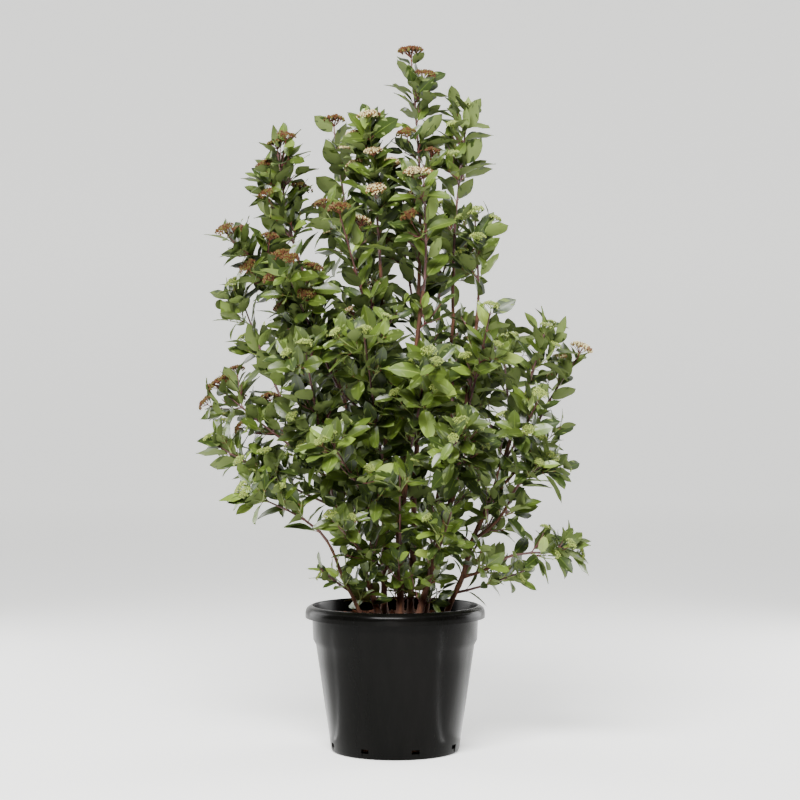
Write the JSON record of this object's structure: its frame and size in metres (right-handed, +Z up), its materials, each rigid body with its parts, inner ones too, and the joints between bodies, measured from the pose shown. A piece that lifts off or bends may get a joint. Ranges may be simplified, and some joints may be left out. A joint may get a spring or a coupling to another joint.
{
  "type": "potted laurustinus",
  "caption": "Bushy evergreen laurustinus shrub with glossy leaves and flat heads of flower buds, standing in a round nursery pot.",
  "frame": {"origin": "centre of the pot's flat underside, on the floor", "axes": "+Z up along the pot's axis, -Y to the front, +X to the front view's right"},
  "size_m": [0.9448, 0.7715, 1.5905],
  "materials": {
    "pot": "satin black nursery pot plastic",
    "soil": "rough bark potting mix",
    "bark": "red brown young bark",
    "foliage": "semi-glossy evergreen leaves"
  },
  "bodies": {
    "root": {"pot": "pot", "potting_soil": "soil", "stem_left": "bark", "stem_inner_left": "bark", "stem_centre": "bark", "stem_tall": "bark", "stem_inner_right": "bark", "stem_right": "bark", "stem_low_left": "bark", "stem_back_left": "bark", "stem_back_right": "bark", "bough_left_leader": "bark", "bough_inner_left": "bark", "bough_right_leader": "bark", "bough_low_right": "bark", "bough_right_low": "bark", "bough_right_far": "bark", "shoot_top": "foliage", "shoot_centre_left": "foliage", "shoot_inner_left": "foliage", "shoot_left": "foliage", "shoot_centre": "foliage", "shoot_right": "foliage", "shoot_right_shoulder": "foliage", "shoot_upper_middle": "foliage", "spray_left_upper": "foliage", "spray_left_upper_front": "foliage", "spray_inner_left": "foliage", "spray_left_shoulder": "foliage", "spray_left_outer": "foliage", "spray_left_front": "foliage", "spray_centre_left_front": "foliage", "spray_centre_right_front": "foliage", "spray_right_front": "foliage", "spray_right_shoulder": "foliage", "spray_right_inner": "foliage", "spray_right_far": "foliage", "spray_right_middle": "foliage", "spray_middle_front": "foliage", "spray_left_middle_front": "foliage", "spray_right_low": "foliage", "spray_left_low": "foliage", "spray_left_drooping": "foliage", "spray_low_right_branch": "foliage", "spray_right_inner_low": "foliage", "spray_low_centre_right": "foliage", "spray_low_left_front": "foliage", "spray_low_centre": "foliage", "sprig_low_left": "foliage", "sprig_low_right": "foliage", "shoot_back_left": "foliage", "shoot_back_right": "foliage", "spray_back_left": "foliage", "spray_back_middle": "foliage", "spray_back_right": "foliage", "spray_back_left_low": "foliage", "spray_back_right_low": "foliage", "spray_back_low": "foliage"}
  },
  "joints": []
}
